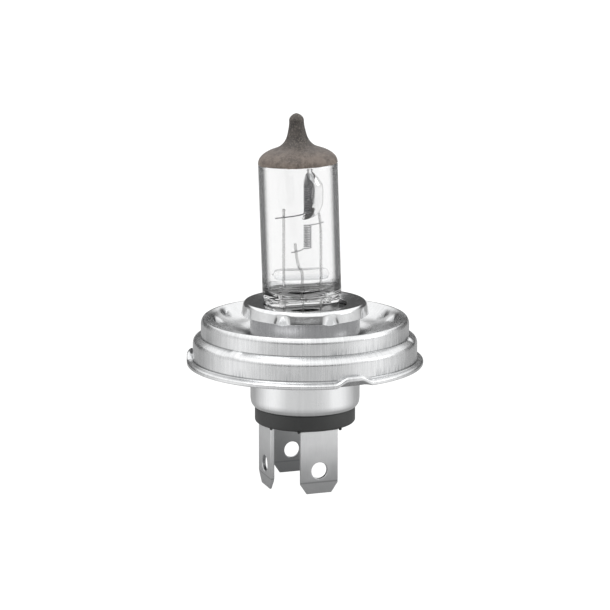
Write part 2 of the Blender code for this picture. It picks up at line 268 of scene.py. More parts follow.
# burner and its inner mount: the glass leans a little, the wires stand upright
burner = {"lean": 1.76, "toward": (-0.9455, 0.3256, 0.0), "rowTurn": -9.0,
          "foot": (-0.16, 0.055, 0.0), "mountFoot": (-0.62, 0.215, 0.0)}
leanAxis = Vector((0, 0, 1)).cross(Vector(burner["toward"]))
rowTurn = Matrix.Rotation(math.radians(burner["rowTurn"]), 4, "Z")
glassPlace = (Matrix.Translation(Vector(burner["foot"]) * mm)
              @ Matrix.Rotation(math.radians(burner["lean"]), 4, leanAxis) @ rowTurn)
mountPlace = Matrix.Translation(Vector(burner["mountFoot"]) * mm) @ rowTurn


# finishes

def satinSheet(name, light, dark, rough, lines, lineHeight, lineDepth, footTicks=(), creaseShadeLines=(), shadedDents=(),
               shadeAbove=None, blotch=0.5):
    # pressed and plated sheet: fine drawn lines up the walls, faint cloudy patches
    f = Finish(name)
    x, y, z = f.place()
    cx, cy, away = rings(x, y)
    drawn = f.noise(f.vector(cx * lines, cy * lines, z * lineHeight + away * lineHeight), 1.0, 2.0, 0.6)
    wide = f.noise(f.vector(cx * lines * 0.22, cy * lines * 0.22, z * 0.12), 1.0, 1.0)
    cloud = f.noise(f.vector(x, y, z), 0.35, 3.0)
    speck = f.noise(f.vector(x, y, z), 9.0, 2.0, 0.7)
    wall = f.spread(away, 19.6, 20.7) if footTicks else 1.0  # the bowl is smoother than the outer walls
    drawn = (drawn - 0.5) * (0.25 + 0.75 * wall) + 0.5
    streak = f.spread(drawn * 0.7 + wide * 0.3, 0.36, 0.66)
    tone = f.blend(streak * (1 - blotch) + cloud * blotch, dark, light)
    tone = f.blend(f.spread(speck, 0.66, 0.8) * 0.35, tone, dark)
    ticks = f.noise(f.vector(cx * lines * 0.8, cy * lines * 0.8, z * 0.3), 1.0, 1.0, 0.5)
    bunch = f.noise(f.vector(cx * 3.1, cy * 3.1, z * 0.05), 1.0, 1.0)
    for low, high in footTicks:  # dark ticks, darkest at the foot of each wall where it meets the next step, fading up the wall
        band = f.spread(z, low - 0.05, low + 0.1) * f.spread(z, low + 0.3, high, 1.0, 0.0)
        marks = f.spread(ticks, 0.42, 0.62) * f.spread(bunch, 0.46, 0.62) * band
        marks = marks * f.spread(away, 20.0, 20.5)
        tone = f.blend(marks * 0.6, tone, (0.22, 0.23, 0.24))
    for height, innerEnd, outerEnd in creaseShadeLines:  # painted shade: a dark line in each inside corner
        line = f.spread(z, height - 0.22, height - 0.08) * f.spread(z, height + 0.08, height + 0.22, 1.0, 0.0)
        line = line * f.spread(away, innerEnd, innerEnd + 0.1)
        line = line * f.spread(away, outerEnd, outerEnd + 0.1, 1.0, 0.0)
        tone = f.blend(line * 0.65, tone, (0.12, 0.125, 0.13))
    for centre, radius in shadedDents:  # painted shade: the dents are painted darker than the bowl round them
        t = math.radians(centre)
        dx, dy = x - radius * math.cos(t), y - radius * math.sin(t)
        deep = f.spread((dx * dx + dy * dy) ** 0.5, 0.35, 1.35, 0.75, 0.0)
        tone = f.blend(deep, tone, (0.16, 0.163, 0.167))
    if shadedDents:  # painted shadow in the narrow gap where the bowl meets the shell
        tone = f.blend(f.spread(away, 12.1, 12.9, 0.85, 0.0), tone, (0.06, 0.062, 0.065))
    # painted shade: above this height the sheet is painted darker, where the shell sits in the collar's dish under
    # the cap
    if shadeAbove is not None:
        upperShade = f.spread(z, shadeAbove, shadeAbove + 1.2) * (0.72 + drawn * 0.4)
        tone = f.blend(upperShade, tone, (0.27, 0.27, 0.275))
    roughness = rough + (cloud - 0.5) * 0.16 + (drawn - 0.5) * 0.12
    relief = f.bump(drawn * 0.8 + wide * 0.4 + speck * 0.1, lineDepth)
    return f.close({"Base Color": tone, "Roughness": roughness, "Metallic": 1.0, "Normal": relief})


def brightCap(name):
    f = Finish(name)
    x, y, z = f.place()
    spot = f.vector(x, y, z)
    smear = f.noise(spot, 0.9, 3.0)
    fine = f.noise(spot, 7.0, 2.0)
    tone = f.blend(smear, (0.62, 0.625, 0.63), (0.8, 0.805, 0.81))
    relief = f.bump(smear + fine * 0.05, 0.012)
    return f.close({"Base Color": tone, "Roughness": 0.07 + smear * 0.1 + fine * 0.03, "Metallic": 1.0,
                    "Normal": relief})


def bladeStrip(name):
    f = Finish(name)
    x, y, z = f.place()
    drawn = f.noise(f.vector(x * 9.0, y * 9.0, z * 0.35), 1.0, 3.0, 0.6)
    cloud = f.noise(f.vector(x, y, z), 0.5, 3.0)
    scratch = f.noise(f.vector(x * 1.2 + z * 2.2, y * 6.0, z * 14.0), 1.0, 1.0)
    tone = f.blend(drawn * 0.5 + cloud * 0.5, (0.7, 0.705, 0.71), (0.92, 0.925, 0.93))
    tone = f.blend(f.spread(scratch, 0.68, 0.74) * 0.4, tone, (0.75, 0.75, 0.74))
    nx, ny = [f.node("SeparateXYZ", None, {0: f.node("TexCoord", out=1)}, axis) for axis in (0, 1)]
    # painted shade: the side that faces the lamp axis is painted darker, more so toward the tip; the lower end is
    # darker too
    inner = f.spread(nx * x + ny * y, -2.0, 2.0, 1.0, 0.0)
    towardTip = f.spread(z, -24.5, -14.5, 1.0, 0.0)
    tone = f.blend(towardTip * 0.55, tone, (0.3, 0.305, 0.31))
    tone = f.blend(inner * (0.5 + towardTip * 0.3), tone, (0.2, 0.205, 0.21))
    # painted shade: a dark line at the step where the tip is pressed thinner
    coinStepShade = f.spread(z, -22.75, -22.6) * f.spread(z, -22.45, -22.3, 1.0, 0.0)
    tone = f.blend(coinStepShade * 0.45, tone, (0.16, 0.165, 0.17))
    relief = f.bump(drawn + scratch * 0.3, 0.012)
    return f.close({"Base Color": tone, "Roughness": 0.3 + cloud * 0.16, "Metallic": 1.0, "Normal": relief})


def mouldedResin(name):
    f = Finish(name)
    x, y, z = f.place()
    spot = f.vector(x, y, z)
    grain = f.noise(spot, 6.0, 4.0, 0.7)
    flow = f.noise(f.vector(x, y, z * 0.3), 0.6, 2.0)
    fleck = f.spread(f.noise(spot, 11.0, 1.0), 0.68, 0.76)
    tone = f.blend(grain * 0.6 + flow * 0.4, (0.022, 0.023, 0.023), (0.046, 0.047, 0.046))
    tone = f.blend(fleck * 0.4, tone, (0.13, 0.13, 0.125))
    return f.close({"Base Color": tone, "Roughness": 0.32 + grain * 0.18, "Metallic": 0.0,
                    "Normal": f.bump(grain, 0.02)})


# how far each piece of quartz bends light: the pinch and the bar are set below real quartz, 1.46
quartz = {"tube": 1.46, "pinch": 1.24, "bar": 1.13, "barShade": 18.0}


def quartzWall(name, edge, bend, lowEdgeShade=None, shadeBelow=None):
    # clear quartz; the dark band just inside a tube wall's outline, where it is seen edge on, is painted into the
    # base colour by Layer Weight
    f = Finish(name)
    x, y, z = f.place()
    facing = f.node("LayerWeight", None, {"Blend": 0.5}, 1)
    haze = f.noise(f.vector(x, y, z * 0.5), 0.3, 2.0)
    tone = f.ramp(facing, *edge)
    if lowEdgeShade:
        tone = f.blend(f.spread(z, 14.9, 15.7), f.ramp(facing, *lowEdgeShade), tone)
    if shadeBelow is not None:
        shade = f.spread(z, shadeBelow - 0.15, shadeBelow + 0.1, 1.0, 0.0)
        tone = f.blend(shade, tone, (0.82, 0.83, 0.84))
    tone = f.blend(haze * 0.03, tone, (0.6, 0.62, 0.64))
    return f.close({"Base Color": tone, "Roughness": haze * 0.01, "Metallic": 0.0, "IOR": bend,
                    "Transmission Weight": 1.0})


def glareCoat(name):
    f = Finish(name)
    x, y, z = f.place()
    spot = f.vector(x, y, z)
    cloud = f.noise(spot, 0.7, 4.0, 0.65)
    grain = f.noise(spot, 3.2, 4.0, 0.75)
    shade = f.ramp(f.spread(z, 40.3, 50.5),  # painted light and shade from the lower edge up to the tip: lighter on the broad shoulder and at the very top, darker on the upright neck
                   (0.0, (0.165, 0.132, 0.108)), (0.22, (0.13, 0.103, 0.086)), (0.4, (0.055, 0.046, 0.04)),
                   (0.8, (0.036, 0.03, 0.026)), (1.0, (0.065, 0.055, 0.045)))
    tone = f.blend(f.spread(cloud, 0.42, 0.62) * 0.7, shade, (0.3, 0.28, 0.27), "MULTIPLY")
    tone = f.blend(f.spread(grain, 0.5, 0.72) * 0.5, tone, (0.3, 0.255, 0.22))
    return f.close({"Base Color": tone, "Roughness": 0.5 + grain * 0.15, "Metallic": 0.0, "Sheen Weight": 0.15,
                    "Sheen Roughness": 0.4, "Normal": f.bump(grain + cloud * 0.8, 0.06)})


def drawnMetal(name, light, dark, rough, rim=None):
    f = Finish(name)
    x, y, z = f.place()
    drawn = f.noise(f.vector(x * 5.0, y * 5.0, z * 0.6), 1.0, 3.0)
    cloud = f.noise(f.vector(x, y, z), 1.3, 2.0)
    tone = f.blend(drawn * 0.6 + cloud * 0.4, dark, light)
    if rim:  # stands in for dark surroundings mirrored where polished sheet curves away
        facing = f.node("LayerWeight", None, {"Blend": 0.5}, 1)
        tone = f.blend(f.spread(facing, 0.6, 0.85), tone, rim)
    return f.close({"Base Color": tone, "Roughness": rough + cloud * 0.12, "Metallic": 1.0,
                    "Normal": f.bump(drawn, 0.01)})


shellFinish = satinSheet("shellPlate", (0.78, 0.785, 0.79), (0.68, 0.685, 0.69), 0.24, 60.0, 0.12, 0.004,
                         shadeAbove=5.0)
capFinish = brightCap("capBright")
bladeFinish = bladeStrip("bladePlate")
resinFinish = mouldedResin("insulatorResin")
# painted shade: these ramps darken the quartz's base colour where a wall is seen edge on; the tube's very outline is
# painted light again
tubeEdgeShade = ((0.0, 0.96), (0.3, 0.93), (0.38, 0.82), (0.45, 0.3), (0.52, 0.02), (0.8, 0.005), (0.9, 0.3), (1.0, 0.85))
tubeFootShade = ((0.0, 0.99), (0.55, 0.97), (0.8, 0.75), (1.0, 0.6))
pinchEdgeShade = ((0.0, 0.99), (0.5, 0.97), (0.7, 0.75), (0.85, 0.35), (1.0, 0.3))
outerGlass = quartzWall("quartzOutside", tubeEdgeShade, quartz["tube"], tubeFootShade)
innerGlass = quartzWall("quartzInside", ((0.0, 0.87), (0.5, 0.93), (1.0, 0.98)), quartz["tube"])
pinchGlass = quartzWall("quartzPinch", pinchEdgeShade, quartz["pinch"])
barGlass = quartzWall("quartzBarClear", ((0.0, 0.99), (1.0, 0.9)), quartz["bar"], None, quartz["barShade"])
coatFinish = glareCoat("coatPaint")
shieldFinish = drawnMetal("shieldPolish", (0.97, 0.97, 0.97), (0.88, 0.88, 0.88), 0.07,
                          (0.22, 0.22, 0.22))
wireFinish = drawnMetal("wireMetal", (0.78, 0.78, 0.78), (0.55, 0.55, 0.55), 0.22)
coilFinish = drawnMetal("coilMetal", (0.62, 0.62, 0.63), (0.4, 0.4, 0.41), 0.3)
# painted shade: a darker copy of the coil metal for the low-beam coil, which sits in the shield's cup
shadedCoilFinish = drawnMetal("coilMetalShaded", (0.24, 0.24, 0.25), (0.1, 0.1, 0.11), 0.35)
foilFinish = drawnMetal("foilMetal", (0.62, 0.60, 0.57), (0.40, 0.39, 0.37), 0.25)
weldFinish = drawnMetal("weldMetal", (0.66, 0.66, 0.64), (0.44, 0.44, 0.43), 0.35)
holderFinish = drawnMetal("holderSpring", (0.50, 0.50, 0.50), (0.28, 0.28, 0.28), 0.3)
print("finishes made")


# collar: pressed sheet with a keyed rim, a stepped wall and a dished top
collar = {
    "outline": (
        (21.9, 0.0, 0.05), (23.4, 0.0, 0.15), (23.72, 0.15, 0.15), (23.75, 0.75, 0.2), (23.4, 1.0, 0.3),
        (22.66, 1.15, 0.25), (22.5, 1.45, 0.2), (22.5, 4.55, 0.4), (22.25, 5.15, 0.4), (21.5, 5.62, 0.5),
        (20.88, 5.85, 0.12), (20.85, 6.15, 0.15), (20.85, 8.7, 0.8), (20.3, 9.55, 0.8), (19.5, 9.2, 0.7),
        (18.6, 8.2, 0.9), (16.6, 7.1, 1.5), (14.1, 6.6, 1.0), (13.0, 6.0, 0.6), (12.1, 4.9, 0.5),
        (11.75, 4.1, 0.2), (11.4, 4.0, 0.1), (11.4, 3.8, 0.1), (11.9, 3.8, 0.2), (12.4, 4.6, 0.5),
        (13.2, 5.5, 0.6), (14.2, 6.1, 0.8), (16.9, 6.55, 1.0), (19.1, 7.8, 0.8), (20.2, 8.6, 0.4),
        (20.25, 5.6, 0.3), (21.0, 5.1, 0.5), (21.7, 4.7, 0.4), (21.9, 4.3, 0.4),
    ),
    "waves": (275.3, 155.3, 35.3), "waveHalf": 10.0, "waveFlat": 3.2, "waveRise": 1.15,
    "lugs": (211.5, 331.5, 91.5), "lugHalf": 5.5, "lugRise": 0.32,
    "dents": ((149.3, 18.2), (130.1, 18.7), (355.5, 18.4), (10.3, 18.1)), "dentDepth": 0.75,
    "footTicks": ((1.3, 3.2), (6.0, 7.6)), "creaseShadeLines": ((5.95, 20.4, 21.1), (1.36, 22.3, 22.75)),
}

collarFinish = satinSheet("collarPlate", (0.78, 0.785, 0.79), (0.52, 0.525, 0.53), 0.26, 120.0, 0.12, 0.009,
                          collar["footTicks"], collar["creaseShadeLines"], collar["dents"])


def collarWarp(r, z, turn):
    wave = near(turn, collar["waves"], collar["waveHalf"], collar["waveFlat"])
    if z < 1.6 and r > 22.3:
        z += collar["waveRise"] * wave * min(1.0, (r - 22.3) / 0.9)
    if 20.7 < r < 22.4 and 4.7 < z < 7.0:
        lug = near(turn, collar["lugs"], collar["lugHalf"], 1.0)
        z += collar["lugRise"] * lug * max(0.0, 1 - abs(z - 5.8) / 1.2)
    for centre, radius in collar["dents"]:
        off = (turn - centre + 180) % 360 - 180
        far = (off * 0.33) ** 2 + (r - radius) ** 2 / 0.6 ** 2
        if far < 6 and z > 6.6 and r < 20.3:
            z -= collar["dentDepth"] * math.exp(-far)
    return r, z


piece("collar", turned(softLoop(collar["outline"], 4), 480, collarWarp), collarFinish,
      ["prefocus_flange"], 50)
print("collar made")


# shell: tube through the collar, rolled in at its lower end
shell = {"outline": (
    (11.0, 11.3, 0.05), (11.0, -7.1, 0.9), (10.85, -8.0, 0.6), (10.35, -8.6, 0.3), (10.0, -8.7, 0.1),
    (9.75, -8.65, 0.05), (10.15, -8.05, 0.3), (10.5, -7.2, 0.4), (10.5, 11.3, 0.05),
)}
piece("shellTube", turned(softLoop(shell["outline"], 6), 240), shellFinish,
      ["base_shell"], 50)


# retainer: domed bright cap, crimped to the shell at eight places
cap = {
    "outline": (
        (8.35, 12.2, 0.1), (9.4, 12.4, 0.3), (11.4, 12.72, 0.4), (11.95, 12.75, 0.4), (12.35, 12.3, 0.4),
        (12.5, 11.6, 0.3), (12.66, 10.9, 0.2), (12.78, 10.35, 0.05), (12.5, 10.35, 0.05), (12.2, 11.5, 0.3),
        (11.8, 12.3, 0.3), (10.0, 12.0, 0.3), (8.35, 11.8, 0.1),
    ),
    "tabs": 8, "firstTab": 5.0, "crimpHalf": 8.5, "crimpFlat": 0.8, "crimpDepth": 0.5, "tabDrop": 0.3,
}


def capWarp(r, z, turn):
    tabs = [cap["firstTab"] + 360 / cap["tabs"] * k for k in range(cap["tabs"])]
    crimp = near(turn, tabs, cap["crimpHalf"], cap["crimpFlat"])
    if r > 11.7:
        down = min(1.0, max(0.0, (12.3 - z) / 1.9))
        r -= cap["crimpDepth"] * crimp * down
        z -= cap["tabDrop"] * crimp * max(0.0, (11.0 - z) / 0.5)
    return r, z


piece("retainerCap", turned(softLoop(cap["outline"], 5), 480, capWarp), capFinish,
      ["retainer_ring"], 50)

# spring plate under the cap that grips the pinch
holder = {"outline": ((10.1, 10.6, 0.2), (10.1, 7.4, 0.05), (9.7, 7.4, 0.05), (9.7, 10.15, 0.2),
                      (2.9, 10.15, 0.1), (2.9, 10.6, 0.1))}
piece("pinchHolder", turned(softLoop(holder["outline"], 3), 96), holderFinish,
      ["burner_holder"], 40)
print("shell, cap and holder made")


# insulator disk with small nubs beside the blades
resin = {
    "outline": ((0.4, -6.6, 0.1), (9.4, -6.6, 0.2), (9.4, -8.75, 0.1), (10.12, -8.75, 0.15),
                (10.12, -11.6, 0.3), (9.8, -11.9, 0.2), (0.4, -11.9, 0.1)),
    "nubs": ((-4.35, -8.9), (4.35, -8.9), (-4.35, 8.9), (4.35, 8.9), (-8.6, -4.3)),
    "nubSize": (0.6, 0.6, 0.5), "nubHeight": -11.95,
}
disk = turned(softLoop(resin["outline"], 4), 160)
for nubX, nubY in resin["nubs"]:
    made = bmesh.ops.create_cube(disk, size=1.0)["verts"]
    for v in made:
        wide = 0.85 if v.co.z < 0 else 1.0
        long, deep, high = resin["nubSize"]
        v.co = Vector((nubX + v.co.x * long * wide, nubY + v.co.y * deep * wide,
                       resin["nubHeight"] + v.co.z * high)) * mm
    edges = list({e for v in made for e in v.link_edges})
    bmesh.ops.bevel(disk, geom=edges, offset=0.12 * mm, segments=2, affect="EDGES")
piece("insulatorDisk", disk, resinFinish, ["insulator"], 40)


# blades: punched strip with a hole and a thinned tip
blade = {"half": 3.9, "thick": 0.8, "bottom": -24.9, "top": -11.95, "corner": (1.3, 2.0), "holeRadius": 1.67,
         "holeHeight": -20.15, "coinHeight": 2.3, "tangHalf": 1.2, "tangTop": -5.2}


def makeBlade(name, node, turn, offset):
    b = blade
    half, low, top = b["half"], b["bottom"], b["top"]
    side, up = b["corner"]
    outline = [(-b["tangHalf"], b["tangTop"]), (-b["tangHalf"], top), (-half, top), (-half, low + up),
               (-half + side, low), (half - side, low), (half, low + up), (half, top),
               (b["tangHalf"], top), (b["tangHalf"], b["tangTop"])]
    around = [2 * math.pi * k / 48 for k in range(48)]
    hole = [(b["holeRadius"] * math.cos(t), b["holeHeight"] + b["holeRadius"] * math.sin(t)) for t in around]
    mesh = bmesh.new()
    edges = []
    for line in (outline, hole):
        verts = [mesh.verts.new(Vector((x, -offset - b["thick"] / 2, z)) * mm) for x, z in line]
        edges += [mesh.edges.new((verts[i], verts[(i + 1) % len(verts)])) for i in range(len(verts))]
    bmesh.ops.triangle_fill(mesh, use_beauty=True, use_dissolve=False, edges=edges)
    for height in (low + b["coinHeight"], low + b["coinHeight"] + 0.25, b["holeHeight"] + 2.4, top - 0.6):
        whole = mesh.verts[:] + mesh.edges[:] + mesh.faces[:]
        bmesh.ops.bisect_plane(mesh, geom=whole, plane_co=(0, 0, height * mm), plane_no=(0, 0, 1))
    grown = bmesh.ops.extrude_face_region(mesh, geom=mesh.faces[:])["geom"]
    for v in [g for g in grown if isinstance(g, bmesh.types.BMVert)]:
        v.co.y += b["thick"] * mm
    middle = -offset * mm
    for v in mesh.verts:  # the tip is pressed thinner toward its end
        deep = (low + b["coinHeight"] + 0.1) * mm - v.co.z
        if deep > 0:
            v.co.y = middle + (v.co.y - middle) * (1 - 0.12 - 0.38 * min(1.0, deep / (b["coinHeight"] * mm)))
    spin = Matrix.Rotation(math.radians(turn), 3, "Z")
    bmesh.ops.rotate(mesh, cent=(0, 0, 0), matrix=spin, verts=mesh.verts[:])
    made = piece(name, mesh, bladeFinish, [node], 30)
    soft = made.modifiers.new("softEdges", "BEVEL")
    soft.width = 0.11 * mm
    soft.segments = 2
    soft.limit_method = "ANGLE"
    soft.angle_limit = math.radians(50)
    return made


makeBlade("bladeHighBeam", "terminal_high_beam", 0, 8.47)
makeBlade("bladeGround", "terminal_ground", 180, 8.47)
makeBlade("bladeLowBeam", "terminal_low_beam", -90, 8.19)
print("insulator and blades made")


# glass: drawn tube, closed dome, flat pinch with pressed ribs and round pips
glass = {
    "radius": 7.89, "bore": 6.74,
    "dome": ((7.89, 39.0), (7.89, 40.2), (7.87, 40.8), (7.64, 41.5), (7.2, 42.05), (6.6, 42.55), (5.57, 43.1),
             (4.42, 43.5), (3.42, 43.95), (2.62, 44.7), (2.14, 45.5), (1.88, 46.3), (1.70, 47.1), (1.54, 47.9),
             (1.47, 48.6), (1.46, 49.1), (1.33, 49.5), (1.05, 49.85), (0.6, 50.2), (0.12, 50.38)),
    "innerDome": ((6.74, 38.6), (6.72, 39.6), (6.5, 40.4), (5.9, 41.1), (4.9, 41.7), (3.4, 42.2),
                  (1.8, 42.6), (0.8, 43.2), (0.15, 43.5)),
    "floor": ((1.0, 0.5, 14.6), (3.6, 1.9, 14.75), (5.2, 3.5, 15.15), (6.15, 5.1, 15.75), (6.6, 6.2, 16.5),
              (6.74, 6.74, 17.5), (6.74, 6.74, 18.6)),
    # height, half width, half depth and squareness, from the pinch up into the tube
    "stages": ((3.2, 7.0, 2.15, 5.0), (3.5, 7.3, 2.4, 5.0), (12.2, 7.3, 2.4, 5.0), (12.8, 7.4, 2.9, 4.0),
               (13.4, 7.6, 4.2, 3.0), (14.0, 7.84, 6.1, 2.3), (14.6, 7.89, 7.5, 2.0), (15.3, 7.89, 7.89, 2.0)),
    "pinchTop": 15.3, "ribs": (9.9, 11.0, 12.1, 13.2), "ribRise": 0.2, "ribWidth": 0.24, "ribHalf": 5.2,
    "reliefTop": 14.4, "reliefFade": 1.2, "grooveDepth": 0.35, "grooveWidth": 0.5,
    "pips": ((-4.5, 10.9), (-4.5, 12.9), (4.6, 11.1), (4.6, 13.1)), "pipRise": 0.5, "pipSize": 0.75,
}


def softRect(halfWide, halfDeep, z, power, count=128):
    loop = []
    for k in range(count):
        t = 2 * math.pi * k / count
        c, s = math.cos(t), math.sin(t)
        m = (abs(c) ** power + abs(s) ** power) ** (-1 / power)
        x, y = halfWide * c * m, halfDeep * s * m
        loop.append([x, y, z])
    return loop


def pinchRelief(loop):
    # pressed ribs, a groove down the middle and round pips on both flat sides
    g = glass
    for p in loop:
        x, y, z = p
        if abs(y) < 0.9 or z > g["reliefTop"]:
            continue
        side = 1 if y > 0 else -1
        fade = max(0.0, 1 - (abs(x) / g["ribHalf"]) ** 6)
        fade = fade * max(0.0, min(1.0, (g["reliefTop"] - z) / g["reliefFade"]))
        lift = sum(g["ribRise"] * math.exp(-((z - rib) / g["ribWidth"]) ** 2) for rib in g["ribs"]) * fade
        lift -= g["grooveDepth"] * math.exp(-(x / g["grooveWidth"]) ** 2) * fade
        for pipX, pipZ in g["pips"]:
            far = ((x - pipX) ** 2 + (z - pipZ) ** 2) / g["pipSize"] ** 2
            lift += g["pipRise"] * math.exp(-far * far)
        p[1] = y + side * lift
    return loop


outside = bmesh.new()
loops = []
heights = [3.2, 3.35, 3.5, 5.0, 6.5, 8.0] + [9.0 + 0.12 * k for k in range(72)]
for h in heights:
    h = min(h, 17.5)
    for a, b in zip(glass["stages"], glass["stages"][1:]):
        if a[0] <= h <= b[0]:
            t = (h - a[0]) / (b[0] - a[0])
            t = t * t * (3 - 2 * t) if a[0] >= 12.2 else t
            w, d, p = [a[i] + (b[i] - a[i]) * t for i in (1, 2, 3)]
            loops.append(pinchRelief(softRect(w, d, h, p)))
            break
for h in [18.5 + 1.5 * k for k in range(14)]:
    loops.append(softRect(glass["radius"], glass["radius"], h, 2.0))
under = [(r - 0.12, z - 0.06) if z > 40.4 else (r, z) for r, z in thread(glass["dome"], 3)]
loops += [softRect(max(r, 0.05), max(r, 0.05), z, 2.0) for r, z in under]
skin(outside, loops, capped=True)
bmesh.ops.recalc_face_normals(outside, faces=outside.faces)
for face in outside.faces:
    if face.calc_center_median().z < glass["pinchTop"] * mm:
        face.material_index = 2

inside = bmesh.new()
loops = [softRect(w, d, z, 2.0) for w, d, z in thread(glass["floor"], 4)]
loops += [softRect(glass["bore"], glass["bore"], h, 2.0) for h in [20.0 + 1.5 * k for k in range(12)]]
loops += [softRect(r, r, z, 2.0) for r, z in thread(glass["innerDome"], 3)]
skin(inside, loops, capped=True)
bmesh.ops.recalc_face_normals(inside, faces=inside.faces)
bmesh.ops.reverse_faces(inside, faces=inside.faces)
for face in inside.faces:
    face.material_index = 2 if face.calc_center_median().z < (glass["pinchTop"] + 1.4) * mm else 1
spare = bpy.data.meshes.new("spare")
inside.to_mesh(spare)
inside.free()
outside.from_mesh(spare)
bpy.data.meshes.remove(spare)
piece("envelope", outside, [outerGlass, innerGlass, pinchGlass], ["glass_envelope"], 60,
      place=glassPlace, tidy=False)


# coat: baked paint over the dome and tip, with a slightly wavy lower edge
coat = {"edge": 40.5, "wave": 0.2, "waveReach": 0.5, "skin": 0.1}


def coatWarp(r, z, turn):
    top = coat["edge"] + coat["waveReach"]
    if z < top:
        t = math.radians(turn)
        wobble = noise.noise(Vector((math.cos(t) * 2.2, math.sin(t) * 2.2, 3.0)))
        wobble += 0.5 * noise.noise(Vector((math.cos(t) * 7.0, math.sin(t) * 7.0, 5.0)))
        z += coat["wave"] * wobble * (top - z) / coat["waveReach"]
    return r, z


domeLine = [p for p in thread(glass["dome"], 4) if p[1] > coat["edge"]]
outerLine = [(glass["radius"], coat["edge"])] + [(p[0], p[1]) for p in domeLine]
innerLine = [(max(r - coat["skin"], 0.04), z - coat["skin"] * 0.4) for r, z in outerLine]
innerLine[0] = (7.79, coat["edge"])  # starts level, a skin inside
innerLine = [p for p in innerLine if p[1] < 50.25]
piece("glareCap", turned(innerLine[::-1] + outerLine, 192, coatWarp, joined=False, capped=True), coatFinish,
      ["anti_glare_coat"], 60, place=glassPlace)
print("glass and coat made")


# inside the glass: wires, bridge, coils and shield
mount = {"wireX": (-3.62, 0.11, 3.92), "wireRadius": 0.29, "wireFoot": 9.2, "lowWireTop": 31.15,
         "ballAt": 31.1, "ballRadius": 0.36}
left, middle, right = mount["wireX"]
foot = mount["wireFoot"]
lowWire = rod([(left, 0, foot + k * 1.4) for k in range(16)] + [(left, 0, mount["lowWireTop"])], mount["wireRadius"])
bmesh.ops.create_uvsphere(lowWire, u_segments=16, v_segments=10, radius=mount["ballRadius"] * mm,
                          matrix=Matrix.Translation(Vector((left, 0, mount["ballAt"])) * mm))
piece("wireLowBeam", lowWire, wireFinish, ["low_beam_support_wire"], 50, place=mountPlace)
bent = thread([(middle, 0, foot), (middle, 0, 16.0), (middle, 0, 17.9), (-0.12, 0, 18.9), (-0.62, 0, 19.8),
               (-0.95, 0, 21.2), (-1.2, 0, 23.0), (-1.33, 0, 24.35)], 5)
piece("wireHighBeam", rod(bent, mount["wireRadius"]), wireFinish, ["high_beam_support_wire"],
      50, place=mountPlace)
bent = thread([(right, 0, foot), (right, 0, 18.0), (right, 0, 23.0), (right, 0.05, 27.0), (right, 0.9, 28.7),
               (right, 2.1, 30.2), (right, 2.5, 31.8), (right, 2.5, 36.2)], 6)
piece("wireCommon", rod(bent, mount["wireRadius"]), wireFinish, ["common_support_wire"],
      50, place=mountPlace)

bridge = {"halfLong": 5.75, "centre": -0.09, "halfHigh": 1.1, "halfDeep": 1.15, "height": 18.25}
bar = bmesh.new()
loops = []
for k in range(25):
    t = -1 + 2 * k / 24
    size = (1 - abs(t) ** 10) ** 0.5 * 0.94 + 0.06
    loops.append([(bridge["centre"] + bridge["halfLong"] * t, p[0] * size, bridge["height"] + p[1] * size)
                  for p in softRect(bridge["halfDeep"], bridge["halfHigh"], 0, 3.0, 40)])
skin(bar, loops, capped=True)
piece("quartzBar", bar, barGlass, ["quartz_bridge"], 60, place=mountPlace)


# wound coils with their straight tails
coils = {"low": (1.2, -0.1), "high": (1.17, 0.0), "radius": 0.72, "wire": 0.115}


def coilOf(name, node, finish, centre, low, high, turns, start, before, after):
    radius, wire, sides = coils["radius"], coils["wire"], 20
    steps = turns * sides
    line = [(centre[0] + radius * math.cos(math.radians(start) + 2 * math.pi * k / sides),
             centre[1] + radius * math.sin(math.radians(start) + 2 * math.pi * k / sides),
             low + (high - low) * k / steps) for k in range(steps + 1)]
    head = [tuple(p) for p in thread(before + line[:2], 5)[:-6]] if before else []
    tail = [tuple(p) for p in thread(line[-2:] + after, 5)[6:]] if after else []
    piece(name, rod(head + line + tail, wire, 8), finish, [node], 60, place=mountPlace)


coilOf("coilLowBeam", "low_beam_filament", shadedCoilFinish, coils["low"], 30.5, 35.9, 15, 180,
       [(-5.35, -0.75, 29.7), (-3.6, -0.78, 29.85), (-1.5, -0.72, 30.05), (0.1, -0.45, 30.3)], [])
coilOf("coilHighBeam", "high_beam_filament", coilFinish, coils["high"], 23.4, 28.0, 13, 200,
       [(-2.2, -0.75, 22.75), (-1.4, -0.76, 22.85), (-0.3, -0.6, 23.1)],
       [(1.9, -0.6, 28.2), (2.8, -0.8, 28.35), (4.25, -0.8, 28.7)])

shield = {
    "middle": 1.55, "opening": 196.0, "wall": 0.12,
    # height, half width, depth and shift toward the opening
    "stations": ((29.25, 0.3, 0.15, 1.5), (29.35, 0.8, 0.5, 1.2), (29.6, 1.35, 1.0, 0.8), (30.0, 1.8, 1.5, 0.45),
                 (30.6, 2.2, 2.0, 0.2), (31.4, 2.5, 2.4, 0.05), (32.4, 2.66, 2.7, 0.0), (33.6, 2.7, 2.79, 0.0),
                 (35.2, 2.7, 2.79, 0.0), (36.1, 2.65, 2.66, 0.0), (36.7, 2.5, 2.3, 0.0), (37.4, 2.2, 1.75, 0.0),
                 (38.2, 1.7, 1.1, 0.0), (38.9, 1.1, 0.6, 0.0), (39.3, 0.8, 0.4, 0.0)),
}
spoon = bmesh.new()
loops = []
openTurn = math.radians(shield["opening"])
towardX, towardY = math.cos(openTurn), math.sin(openTurn)
sizes = thread([s[:3] for s in shield["stations"]], 3)
shifts = thread([(s[3], 0, 0) for s in shield["stations"]], 3)
